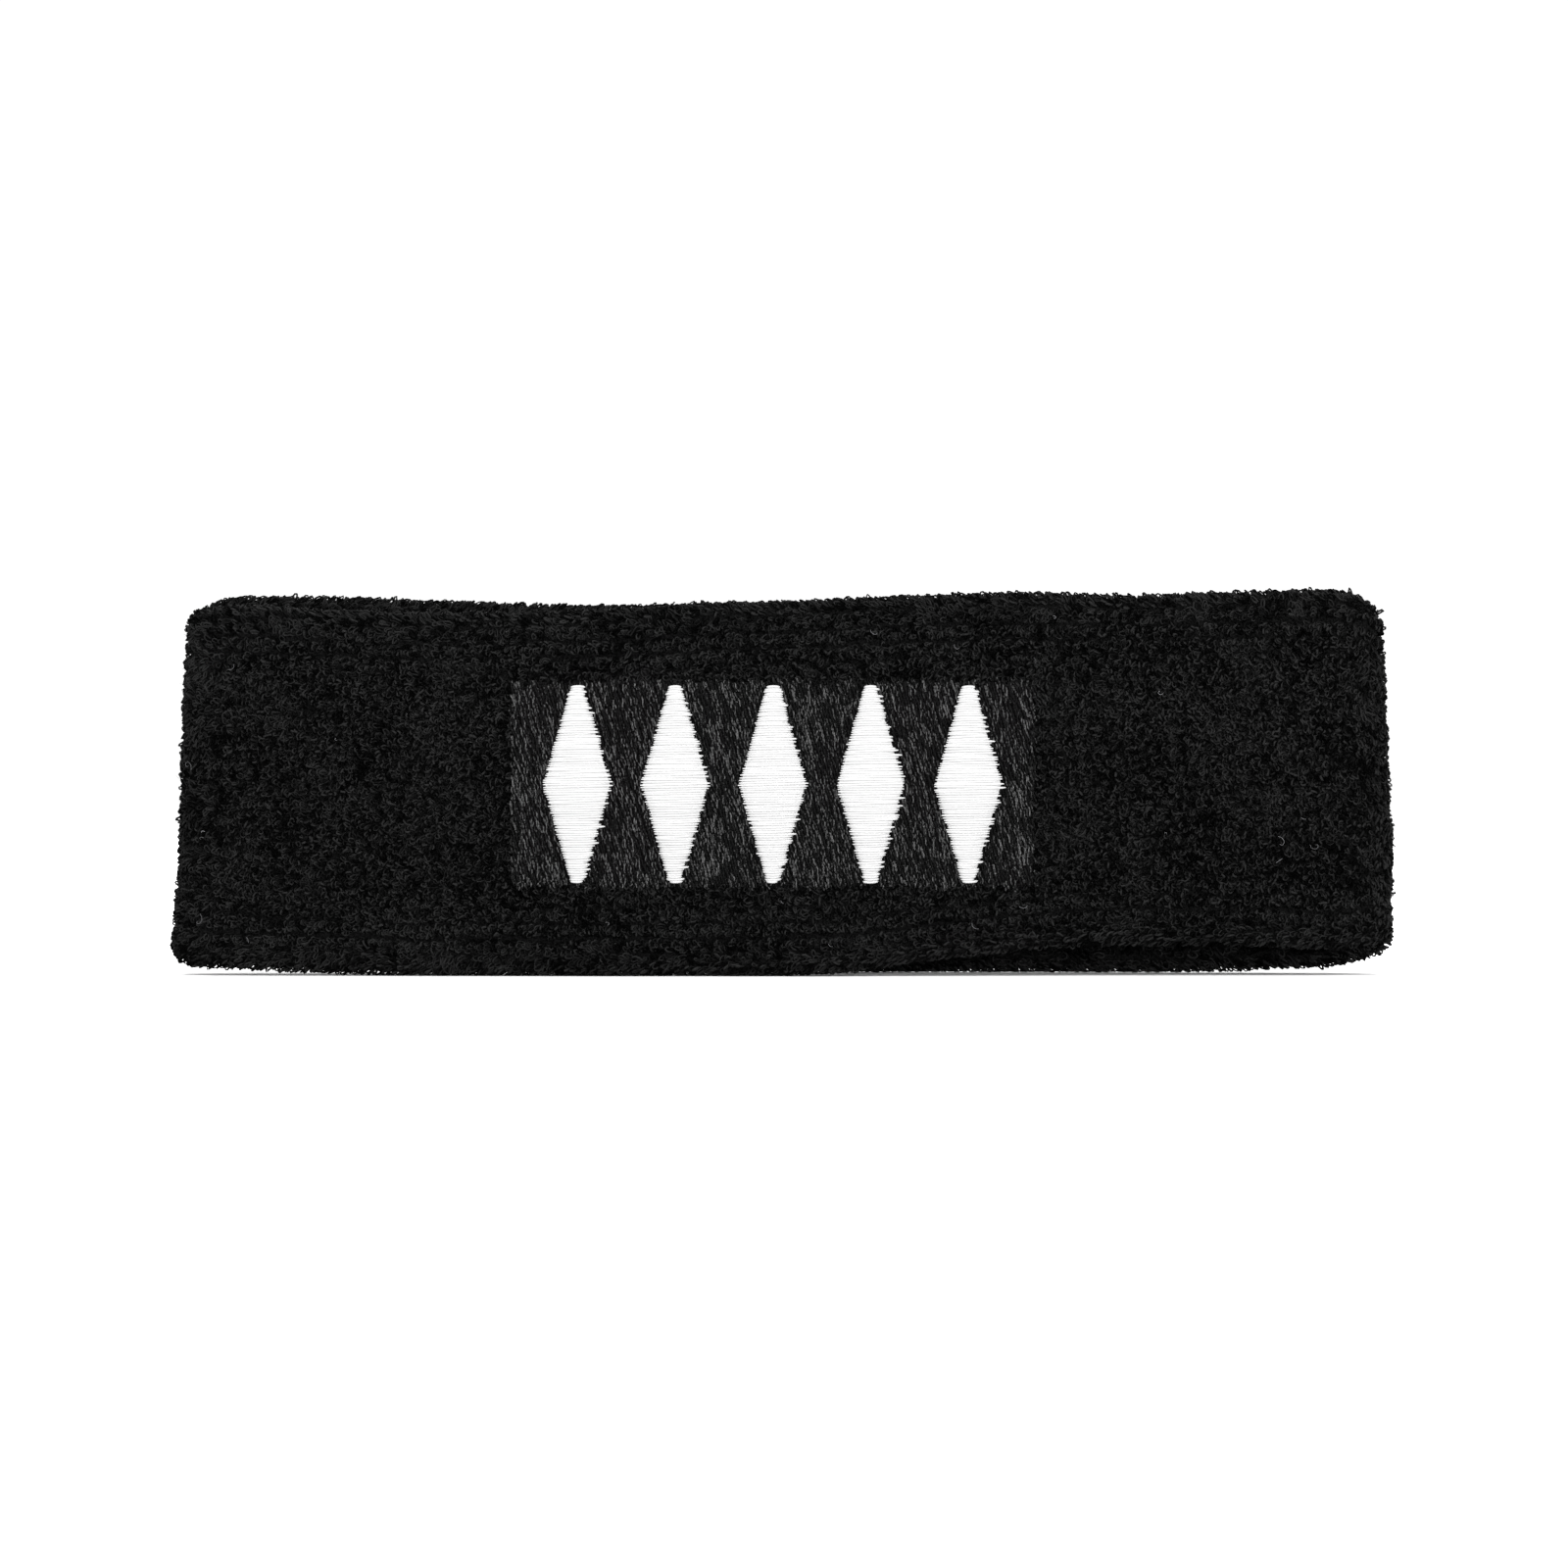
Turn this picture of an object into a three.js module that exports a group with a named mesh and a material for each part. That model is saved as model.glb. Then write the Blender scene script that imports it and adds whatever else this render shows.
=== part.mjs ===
// Sports headband. One tube of knitted terry is folded double into an endless band, and a stitched
// seam on the skin side closes it. Elastic yarns run between its two layers, and the front carries
// an embroidered patch.
//
// Millimetres, +Z up. The band stands on its lower edge, relaxed and nearly flat, with the patch
// facing -Y. The origin is on the surface it stands on, under the middle of the band.
import * as THREE from "three";
import { ParametricGeometry } from "three/addons/geometries/ParametricGeometry.js";

// Driving dimensions
const BAND_LENGTH = 180; // over the two folded ends
const BAND_HEIGHT = 53; // from the lower rolled edge to the upper one
const BAND_DEPTH = 23.8; // over both panels, in the middle
const WALL = 5.8; // both terry layers and what lies between them
const LAYER = 1.6; // one terry layer
const FOLD_RADIUS = 5; // of the wall's middle surface, round each folded end
const GAP = 0.3; // between pieces that lie against each other

// How the soft band sits out of true. Lifts are how far its lower edge gets above the surface it
// stands on, and each comes with the stretch of x, away from the middle, over which it rises.
const FRONT_LIFT = 3.4; // right end of the front panel
const FRONT_RISE = [-5, 45];
const BACK_LIFT = 2.6; // left end of the back panel
const BACK_RISE = [-10, 80];
const FOLD_LIFT = 1.2; // left end of the front panel and right end of the back panel
const FOLD_RISE = [50, 88];
const FOLD_DROP = 2; // the band is this much lower where the cloth is pulled round a fold
const FOLD_PULL = [83, 89];
const SWELL = 1.3; // the band is this much higher near the middle, where the cloth is slack
const SWELL_X = 4;
const SWELL_REACH = 24;
const TAPER = 0.024; // the band is this share shorter along its upper edge than along its lower one

// Seam on the skin side, at half height
const SLIT_HEIGHT = 3;
const TACK_LENGTH = 9;
const TACK_HEIGHT = 3.4;
const TACK_THICKNESS = 0.5;

// Elastic yarns between the layers
const YARN_COUNT = 12;
const YARN_RADIUS = 0.35;
const YARN_OUTWARD = -0.55; // from the wall's middle surface
const YARN_MARGIN = 5; // from the band's edges to the outermost yarns

// Embroidered patch on the front panel
const PATCH_WIDTH = 76;
const PATCH_HEIGHT = 30;
const PATCH_X = -1.6;
const PATCH_Z = 27.8;
const PATCH_PRESS = 0.9; // how deep the stitches press the terry down
const PATCH_MARGIN = 0.6; // of pressed terry round the fill
const FILL_THICKNESS = 0.5;
const BACKING_BORDER = 3; // the backing reaches this far past the fill
const BACKING_THICKNESS = 0.3;
const BOBBIN_THICKNESS = 0.25;
const MOTIF_COUNT = 5;
const MOTIF_PITCH = 14.2;
const MOTIF_WIDTH = 10;
const MOTIF_HEIGHT = 28.4;
const MOTIF_TIP = 1.4; // width of the blunt tips
const MOTIF_THICKNESS = 0.6;
const MOTIF_BEVEL = 0.25;

// Fineness of the facets
const FOLD_STEPS = 9;
const PANEL_STEPS = 22;
const SIDE_STEPS = 6; // front panel, from a fold to the patch
const PATCH_STEPS = 10;
const EDGE_SEGMENTS = 5; // round a rolled edge, odd so that the lowest one is level
const YARN_SIDES = 4;

const { lerp, smoothstep } = THREE.MathUtils;

const materials = {
  terry: cloth(0x0b0b0c, 0.95),
  seam: cloth(0x141416, 0.7),
  elastic: cloth(0x2a2a2c, 0.8),
  backing: cloth(0x39393c, 0.9),
  blackThread: cloth(0x1d1d20, 0.45),
  whiteThread: cloth(0xf2f2f4, 0.5),
};

function cloth(color, roughness) {
  return new THREE.MeshStandardMaterial({ color, roughness, metalness: 0 });
}

// Plan of the band: the middle surface of its wall is four arcs that run into each other, two long
// ones for the panels and two short ones for the folded ends.
const halfDepth = (BAND_DEPTH - WALL) / 2;
const foldX = (BAND_LENGTH - WALL) / 2 - FOLD_RADIUS;
const panelRadius =
  (foldX ** 2 + halfDepth ** 2 - FOLD_RADIUS ** 2) / (2 * (halfDepth - FOLD_RADIUS));
const panelOffset = panelRadius - halfDepth; // from the origin to a panel arc's centre
const panelAngle = Math.atan2(foldX, panelOffset); // half of what a panel arc spans

const FRONT = -Math.PI / 2;
const BACK = Math.PI / 2;
const frontCentre = new THREE.Vector2(0, panelOffset);
const backCentre = new THREE.Vector2(0, -panelOffset);
const rightCentre = new THREE.Vector2(foldX, 0);
const leftCentre = new THREE.Vector2(-foldX, 0);

function lowerEdge(x, y) {
  const front = FRONT_LIFT * smoothstep(x, ...FRONT_RISE) + FOLD_LIFT * smoothstep(-x, ...FOLD_RISE);
  const back = BACK_LIFT * smoothstep(-x, ...BACK_RISE) + FOLD_LIFT * smoothstep(x, ...FOLD_RISE);
  return lerp(front, back, smoothstep(y, -FOLD_RADIUS, FOLD_RADIUS));
}

function bandHeight(x) {
  const swell = SWELL * Math.exp(-(((x - SWELL_X) / SWELL_REACH) ** 2));
  return BAND_HEIGHT + swell - FOLD_DROP * smoothstep(Math.abs(x), ...FOLD_PULL);
}

// Where x comes to at a height, as the band gets shorter towards its upper edge
function tapered(x, z) {
  return x * (1 - (TAPER * z) / BAND_HEIGHT);
}

// A station is one place along the band: where the wall's middle surface is, which way is out,
// where the band's lower edge is and how high the band is there.
function station(centre, radius, angle, pressed) {
  const outward = new THREE.Vector2(Math.cos(angle), Math.sin(angle));
  const middle = outward.clone().multiplyScalar(radius).add(centre);
  const lower = lowerEdge(middle.x, middle.y);
  return { middle, outward, lower, height: bandHeight(middle.x), pressed };
}

// Stations from one angle up to the next, without the last, which the next arc begins with.
function arc(centre, radius, from, to, steps, pressed = false) {
  return Array.from({ length: steps }, (_, i) =>
    station(centre, radius, lerp(from, to, i / steps), pressed),
  );
}

function frontAngle(x) {
  return FRONT + x / panelRadius;
}

const patchHalf = PATCH_WIDTH / 2 + PATCH_MARGIN;
const patchFrom = frontAngle(PATCH_X - patchHalf);
const patchTo = frontAngle(PATCH_X + patchHalf);
const patchEdge = PATCH_PRESS / panelRadius; // the pressed cloth rises over this angle

const stations = [
  ...arc(frontCentre, panelRadius, FRONT - panelAngle, patchFrom - patchEdge, SIDE_STEPS),
  ...arc(frontCentre, panelRadius, patchFrom - patchEdge, patchFrom, 1),
  ...arc(frontCentre, panelRadius, patchFrom, patchTo, PATCH_STEPS, true),
  ...arc(frontCentre, panelRadius, patchTo, patchTo + patchEdge, 1, true),
  ...arc(frontCentre, panelRadius, patchTo + patchEdge, FRONT + panelAngle, SIDE_STEPS),
  ...arc(rightCentre, FOLD_RADIUS, FRONT + panelAngle, BACK - panelAngle, FOLD_STEPS),
  ...arc(backCentre, panelRadius, BACK - panelAngle, BACK + panelAngle, PANEL_STEPS),
  ...arc(leftCentre, FOLD_RADIUS, BACK + panelAngle, 3 * BACK - panelAngle, FOLD_STEPS),
];

// A ring is a section swept once round the band. section(place) gives the outline at a station, as
// points that are (outward from the middle surface, up from the lower edge), with the body on the
// left of the outline.
function ring(section) {
  const sections = stations.map(section);
  const corners = sections[0].length;
  const surface = (u, v, target) => {
    const at = Math.round(u * stations.length) % stations.length;
    const corner = sections[at][Math.round(v * corners) % corners];
    const { middle, outward, lower } = stations[at];
    const z = lower + corner.y;
    target.set(
      tapered(middle.x + corner.x * outward.x, z),
      middle.y + corner.x * outward.y,
      z,
    );
  };
  return new ParametricGeometry(surface, stations.length, corners);
}

function arcPoints(centre, radius, from, to, segments, rise = radius) {
  return Array.from({ length: segments + 1 }, (_, i) => {
    const angle = lerp(from, to, i / segments);
    return new THREE.Vector2(
      centre.x + radius * Math.cos(angle),
      centre.y + rise * Math.sin(angle),
    );
  });
}

// The terry's outline is a C: round the outside from the slit's lower lip to its upper lip, and
// back through the hollow between the layers.
function terrySection({ height, pressed, lower }) {
  const roll = WALL / 2;
  const hollow = roll - LAYER;
  const levelRise = roll / Math.cos(Math.PI / EDGE_SEGMENTS / 2); // puts the end facets on the edges
  const bottom = new THREE.Vector2(0, roll);
  const top = new THREE.Vector2(0, height - roll);
  const slitLow = (height - SLIT_HEIGHT) / 2;
  const slitHigh = (height + SLIT_HEIGHT) / 2;
  const patchLow = PATCH_Z - lower - PATCH_HEIGHT / 2 - PATCH_MARGIN;
  const patchHigh = PATCH_Z - lower + PATCH_HEIGHT / 2 + PATCH_MARGIN;
  const face = pressed ? roll - PATCH_PRESS : roll;
  return [
    new THREE.Vector2(-roll, slitLow),
    ...arcPoints(bottom, roll, Math.PI, 2 * Math.PI, EDGE_SEGMENTS, levelRise),
    new THREE.Vector2(roll, patchLow - PATCH_PRESS),
    new THREE.Vector2(face, patchLow),
    new THREE.Vector2(face, patchHigh),
    new THREE.Vector2(roll, patchHigh + PATCH_PRESS),
    ...arcPoints(top, roll, 0, Math.PI, EDGE_SEGMENTS, levelRise),
    new THREE.Vector2(-roll, slitHigh),
    new THREE.Vector2(-hollow, slitHigh),
    ...arcPoints(top, hollow, Math.PI, 0, EDGE_SEGMENTS),
    ...arcPoints(bottom, hollow, 0, -Math.PI, EDGE_SEGMENTS),
    new THREE.Vector2(-hollow, slitLow),
  ];
}

// The seam fills the slit, with its ridge on the skin side.
function seamSection({ height }) {
  const reach = SLIT_HEIGHT / 2 - GAP;
  const skin = -WALL / 2;
  return [
    new THREE.Vector2(skin + LAYER, height / 2 + reach),
    new THREE.Vector2(skin + LAYER / 2, height / 2 + reach),
    new THREE.Vector2(skin, height / 2 + reach / 2),
    new THREE.Vector2(skin, height / 2 - reach / 2),
    new THREE.Vector2(skin + LAYER / 2, height / 2 - reach),
    new THREE.Vector2(skin + LAYER, height / 2 - reach),
  ];
}

function yarnSection(index) {
  return ({ height }) => {
    const up = lerp(YARN_MARGIN, height - YARN_MARGIN, index / (YARN_COUNT - 1));
    const centre = new THREE.Vector2(YARN_OUTWARD, up);
    return arcPoints(centre, YARN_RADIUS, 0, 2 * Math.PI, YARN_SIDES).slice(1);
  };
}

// Lays a piece made flat, in x and y with its thickness along z, on the front panel: y goes up, and
// z goes out of the wall, from the given distance outside the wall's middle surface.
function layOnFront(geometry, outward, x = 0) {
  const position = geometry.attributes.position;
  const point = new THREE.Vector3();
  for (let i = 0; i < position.count; i += 1) {
    point.fromBufferAttribute(position, i);
    const angle = frontAngle(PATCH_X + x + point.x);
    const radius = panelRadius + outward + point.z;
    const z = PATCH_Z + point.y;
    position.setXYZ(
      i,
      tapered(radius * Math.cos(angle), z),
      panelOffset + radius * Math.sin(angle),
      z,
    );
  }
  geometry.computeVertexNormals();
  return geometry;
}

function patchLayer(width, height, thickness, outward) {
  const slab = new THREE.BoxGeometry(width, height, thickness, PATCH_STEPS, 1, 1);
  return layOnFront(slab, outward + thickness / 2);
}

function motif(x, outward) {
  const outline = new THREE.Shape();
  outline.moveTo(MOTIF_WIDTH / 2, 0);
  outline.lineTo(MOTIF_TIP / 2, MOTIF_HEIGHT / 2);
  outline.lineTo(-MOTIF_TIP / 2, MOTIF_HEIGHT / 2);
  outline.lineTo(-MOTIF_WIDTH / 2, 0);
  outline.lineTo(-MOTIF_TIP / 2, -MOTIF_HEIGHT / 2);
  outline.lineTo(MOTIF_TIP / 2, -MOTIF_HEIGHT / 2);
  const crowned = new THREE.ExtrudeGeometry(outline, {
    depth: MOTIF_THICKNESS - 2 * MOTIF_BEVEL,
    bevelThickness: MOTIF_BEVEL,
    bevelSize: MOTIF_BEVEL,
    bevelOffset: -MOTIF_BEVEL,
    bevelSegments: 2,
  });
  return layOnFront(crowned, outward + MOTIF_BEVEL, x);
}

const headband = new THREE.Group();

function add(name, geometry, material) {
  const mesh = new THREE.Mesh(geometry, material);
  mesh.name = name;
  headband.add(mesh);
  return mesh;
}

add("terry_tube", ring(terrySection), materials.terry);
add("joining_seam", ring(seamSection), materials.seam);

// The tack locks the seam's end, on the skin side in the middle of the back panel.
const tack = add(
  "seam_tack",
  new THREE.BoxGeometry(TACK_LENGTH, TACK_THICKNESS, TACK_HEIGHT),
  materials.seam,
);
tack.position.set(
  0,
  halfDepth - WALL / 2 - GAP - TACK_THICKNESS / 2,
  lowerEdge(0, halfDepth) + bandHeight(0) / 2,
);

for (let i = 0; i < YARN_COUNT; i += 1) {
  const name = `elastic_yarn_${String(i + 1).padStart(2, "0")}`;
  add(name, ring(yarnSection(i)), materials.elastic);
}

// The patch, from the hollow outwards: bobbin threads, backing, the terry itself, fill and motifs
const hollowFace = WALL / 2 - LAYER;
const backingBack = hollowFace - GAP - BACKING_THICKNESS;
const bobbinBack = backingBack - GAP - BOBBIN_THICKNESS;
const fillBack = WALL / 2 - PATCH_PRESS + GAP;
const motifBack = fillBack + FILL_THICKNESS + GAP;

add(
  "bobbin_threads",
  patchLayer(PATCH_WIDTH, PATCH_HEIGHT, BOBBIN_THICKNESS, bobbinBack),
  materials.blackThread,
);
add(
  "stabiliser_backing",
  patchLayer(
    PATCH_WIDTH + 2 * BACKING_BORDER,
    PATCH_HEIGHT + 2 * BACKING_BORDER,
    BACKING_THICKNESS,
    backingBack,
  ),
  materials.backing,
);
add(
  "tatami_fill",
  patchLayer(PATCH_WIDTH, PATCH_HEIGHT, FILL_THICKNESS, fillBack),
  materials.blackThread,
);
for (let i = 0; i < MOTIF_COUNT; i += 1) {
  const x = (i - (MOTIF_COUNT - 1) / 2) * MOTIF_PITCH;
  add(`satin_motif_${i + 1}`, motif(x, motifBack), materials.whiteThread);
}

export default headband;
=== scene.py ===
# Sports headband: a band of black terry folded double, standing on its lower edge, with an
# embroidered patch on the front. The cloth, its pile of yarn loops and the stitches of the
# embroidery are all real geometry, laid out from the CAD model's boxes.
import math

import bpy
import numpy as np
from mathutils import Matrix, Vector
from mathutils.bvhtree import BVHTree


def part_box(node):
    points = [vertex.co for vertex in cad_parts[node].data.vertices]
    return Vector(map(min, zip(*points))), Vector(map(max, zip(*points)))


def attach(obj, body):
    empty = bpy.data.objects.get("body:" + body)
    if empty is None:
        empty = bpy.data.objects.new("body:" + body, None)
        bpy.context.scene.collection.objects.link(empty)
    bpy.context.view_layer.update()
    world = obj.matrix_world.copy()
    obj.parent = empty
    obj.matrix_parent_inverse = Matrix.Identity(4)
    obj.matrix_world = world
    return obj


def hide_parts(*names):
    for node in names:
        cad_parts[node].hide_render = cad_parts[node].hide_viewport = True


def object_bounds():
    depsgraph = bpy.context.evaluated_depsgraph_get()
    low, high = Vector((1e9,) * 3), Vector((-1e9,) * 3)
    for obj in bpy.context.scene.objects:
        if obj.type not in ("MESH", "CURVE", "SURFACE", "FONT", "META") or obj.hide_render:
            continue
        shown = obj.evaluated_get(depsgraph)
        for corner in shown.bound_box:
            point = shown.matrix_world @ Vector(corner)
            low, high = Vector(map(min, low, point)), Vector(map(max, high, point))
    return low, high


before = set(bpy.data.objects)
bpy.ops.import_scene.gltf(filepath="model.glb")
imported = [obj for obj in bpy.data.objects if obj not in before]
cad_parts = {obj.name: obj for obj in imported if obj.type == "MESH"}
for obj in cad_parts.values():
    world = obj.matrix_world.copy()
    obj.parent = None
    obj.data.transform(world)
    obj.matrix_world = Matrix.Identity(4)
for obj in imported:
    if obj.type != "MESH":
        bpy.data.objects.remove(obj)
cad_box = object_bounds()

MM = 0.001

# The folded band, as the CAD model has it
WALL = 5.8 * MM  # both layers of cloth
FOLD_RADIUS = 5 * MM  # of the wall's middle surface, round each folded end
BAND_HEIGHT = 53 * MM
TAPER = 0.024  # how much shorter the band is along its upper edge
SEAM_HEIGHT = 3 * MM  # of the opening that the joining seam closes

# Where the wall's edges leave the CAD model's
FRONT_RAISED = 1.0 * MM  # the front panel's lower edge, right of the patch
FRONT_RAISED_AT = (8 * MM, 45 * MM, 70 * MM, 84 * MM)  # where that begins, is full and ends
CORNER_RAISED, CORNER_REACH = 1.3 * MM, 4.5 * MM  # the lower right corner, which is rounder
TIPS = 0.5 * MM  # the outermost of the ragged tips of the pile reach the CAD model's upper edge
MIDDLE_SWELL, MIDDLE_X = 0.5 * MM, -8 * MM  # of the upper edge
RIGHT_SAG, RIGHT_X = 0.7 * MM, 50 * MM
SWELL_REACH = 18 * MM

# Terry
PILE = 1.3 * MM  # from the ground cloth to the tips of the loops
GROUND = 0.35 * MM  # thickness of the ground cloth
FULLER = 0.9 * MM  # how much further out the ground cloth is along the rolled edges
WALE = 0.58 * MM  # from loop to loop along the band
COURSE = 0.57 * MM  # from one row of loops to the next
PLY = 0.15 * MM  # radius of the yarn in the pile
SKIN_PITCH = 0.95 * MM  # from loop to loop, both ways, on the skin side
SKIN_SHARE = 0.15  # how much of a rolled edge the skin side's loops cover

# Embroidery
THREAD = 0.19 * MM  # radius
FILL_PITCH = 0.4 * MM
FILL_STITCH = 1.8 * MM
FILL_LEAN = math.radians(16)
UNDERLAY_PITCH, UNDERLAY_THREAD = 0.3 * MM, 0.17 * MM
SATIN_PITCH = 0.34 * MM
SATIN_TIP = 0.9 * MM  # half the width of a motif's blunt tips
SATIN_CROWN = 0.6 * MM  # how far the middle of a motif stands above its sides

# Seam
SEAM_PITCH, SEAM_WIDTH = 2.4 * MM, 2.6 * MM  # of the zigzag
TACK_PITCH = 0.62 * MM
YARN_MARGIN = 5 * MM  # from the band's edges to the outermost elastic yarns

FACING_OUT = np.array([0.0, -1.0, 0.0])  # out of the front panel

RNG = np.random.default_rng(41)


# ---------------------------------------------------------------------------------------------
# The band's shape. Points on it are given by along, the distance round the band from the middle
# of the front, and across, the distance round the wall's section from the joining seam: down the
# skin side, round the lower edge, up the outside and down the skin side again.

tube_low, tube_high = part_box("terry_tube")
ROLL = WALL / 2  # radius of the rolled edges
CORE = ROLL - PILE  # from the wall's middle surface to the ground cloth
half_length = (tube_high.x - tube_low.x) / 2 - ROLL
half_depth = (tube_high.y - tube_low.y) / 2 - ROLL
fold_x = half_length - FOLD_RADIUS
panel_radius = (fold_x**2 + half_depth**2 - FOLD_RADIUS**2) / (2 * (half_depth - FOLD_RADIUS))
panel_offset = panel_radius - half_depth
panel_angle = math.atan2(fold_x, panel_offset)
panel_length = 2 * panel_angle * panel_radius
fold_length = (math.pi - 2 * panel_angle) * FOLD_RADIUS
girth = 2 * (panel_length + fold_length)

SIDE = BAND_HEIGHT - 2 * ROLL  # the flat part of the section
EDGE = math.pi * CORE  # the ground cloth round one rolled edge
AROUND = 2 * (SIDE + EDGE)
OUTSIDE_FROM, OUTSIDE_TO = SIDE / 2 + EDGE, SIDE * 1.5 + EDGE
OUTER_PILE = SIDE / 2 + EDGE * SKIN_SHARE, SIDE * 1.5 + EDGE * (2 - SKIN_SHARE)


def plan(along):
    """The wall's middle surface seen from above: x, y and the angle that its outside faces."""
    right, top = panel_length / 2, panel_length / 2 + fold_length
    left, last = top + panel_length, top + panel_length + fold_length
    a = np.mod(along, girth)
    arcs = (
        (a < right, 0, panel_offset, panel_radius, -math.pi / 2, 0),
        (a < top, fold_x, 0, FOLD_RADIUS, panel_angle - math.pi / 2, right),
        (a < left, 0, -panel_offset, panel_radius, math.pi / 2 - panel_angle, top),
        (a < last, -fold_x, 0, FOLD_RADIUS, math.pi / 2 + panel_angle, left),
        (a >= last, 0, panel_offset, panel_radius, 1.5 * math.pi - panel_angle, last),
    )
    tests = [arc[0] for arc in arcs]
    angle = np.select(tests, [start + (a - at) / r for _, _, _, r, start, at in arcs])
    x = np.select(tests, [cx + r * np.cos(angle) for _, cx, _, r, _, _ in arcs])
    y = np.select(tests, [cy + r * np.sin(angle) for _, _, cy, r, _, _ in arcs])
    return x, y, angle


def tapered(x, z):
    return x * (1 - TAPER * z / BAND_HEIGHT)


def read_edges(samples=720, reach=6):
    """Heights of the band's lower and upper edge, read off the CAD solid by rays and smoothed."""
    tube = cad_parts["terry_tube"]
    tree = BVHTree.FromObject(tube, bpy.context.evaluated_depsgraph_get())
    x, y, _ = plan(np.arange(samples) * girth / samples)
    clear = 10 * MM  # from the band to where the rays start
    edges = []
    for start, way, height in ((tube_low.z - clear, 1, 0), (tube_high.z + clear, -1, tube_high.z)):
        up_or_down = Vector((0, 0, way))
        hits = [
            tree.ray_cast(Vector((px, py, start)), up_or_down)[0].z
            for px, py in zip(tapered(x, height), y)
        ]
        weights = np.hanning(2 * reach + 1)
        wrapped = np.concatenate([hits[-reach:], hits, hits[:reach]])
        edges.append(np.convolve(wrapped, weights / weights.sum(), "valid"))
    return edges


def ridge(value, centre, reach):
    return np.exp(-(((value - centre) / reach) ** 2))


low_edge, high_edge = read_edges()
edge_along = np.arange(len(low_edge)) * girth / len(low_edge)
edge_x = plan(edge_along)[0]
low_edge += FRONT_RAISED * np.interp(edge_along, FRONT_RAISED_AT, [0, 1, 1, 0])
low_edge += CORNER_RAISED * ridge(edge_x, half_length, CORNER_REACH)
high_edge -= TIPS
high_edge += (
    MIDDLE_SWELL * ridge(edge_x, MIDDLE_X, SWELL_REACH)
    - RIGHT_SAG * ridge(edge_x, RIGHT_X, SWELL_REACH)
)


def edge_height(edge, along):
    at = np.mod(along, girth) / girth * len(edge)
    return np.interp(at, np.arange(len(edge) + 1), np.append(edge, edge[0]))


def waves(count, shortest, longest):
    """A smooth random relief, from -1 to 1, that meets itself round the band."""
    length = RNG.uniform(shortest, longest, count)
    turn = RNG.uniform(0, 2 * math.pi, count)
    phase = RNG.uniform(0, 2 * math.pi, count)
    around = np.round(girth / length * np.cos(turn)) * 2 * math.pi / girth
    up = np.sin(turn) * 2 * math.pi / length
    return lambda along, z: sum(
        np.sin(a * along + u * z + p) for a, u, p in zip(around, up, phase)
    ) / math.sqrt(count)


lumps = waves(14, 9 * MM, 34 * MM)
ripples = waves(10, 4 * MM, 9 * MM)
swirls = waves(24, 4 * MM, 16 * MM)
LUMP, RIPPLE = 0.3 * MM, 0.12 * MM
PATCH_DIP, PATCH_DIP_REACH = 0.5 * MM, 2.2 * MM  # where the stitches draw the cloth in
CREASE, CREASE_REACH, CREASE_HALF = 0.9 * MM, 0.6 * MM, 12 * MM  # upright, from being packed flat
CREASES = ((57 * MM, 27 * MM), (-76 * MM, 32 * MM))  # along the band and up it
FURROW, FURROW_REACH, FURROW_HALF = 0.5 * MM, 1.6 * MM, 28 * MM  # level, below the upper edge
FURROW_ALONG, FURROW_DOWN = -55 * MM, 8 * MM
DEEPEST = 0.2 * MM  # over the patch's backing, which lies close behind the cloth
DEEPER = 0.1 * MM  # beyond it, where only the elastic yarns have to stay clear
BACKING_BORDER = 4 * MM  # how far past the patch the first of these holds

patch_low, patch_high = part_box("tatami_fill")
patch_x = (patch_low.x + patch_high.x) / 2
patch_z = (patch_low.z + patch_high.z) / 2
patch_width = patch_high.x - patch_low.x
patch_height = patch_high.z - patch_low.z


def relief(along, z):
    """How far the cloth stands in or out of its plain shape."""
    a = np.mod(along + girth / 2, girth) - girth / 2
    rise = LUMP * lumps(along, z) + RIPPLE * ripples(along, z)
    beside = np.maximum(np.abs(a - patch_x) - patch_width / 2, 0)
    above = np.maximum(np.abs(z - patch_z) - patch_height / 2, 0)
    from_patch = np.hypot(beside, above)
    rise -= PATCH_DIP * ridge(from_patch, 0, PATCH_DIP_REACH)
    for crease_along, crease_z in CREASES:
        rise += CREASE * ridge(a, crease_along, CREASE_REACH) * ridge(z, crease_z, CREASE_HALF)
    furrow_z = tube_high.z - FURROW_DOWN
    rise -= FURROW * ridge(z, furrow_z, FURROW_REACH) * ridge(a, FURROW_ALONG, FURROW_HALF)
    past_backing = np.clip((from_patch - BACKING_BORDER) / MM, 0, 1)
    return np.maximum(rise, -(DEEPEST + DEEPER * past_backing))


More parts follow.
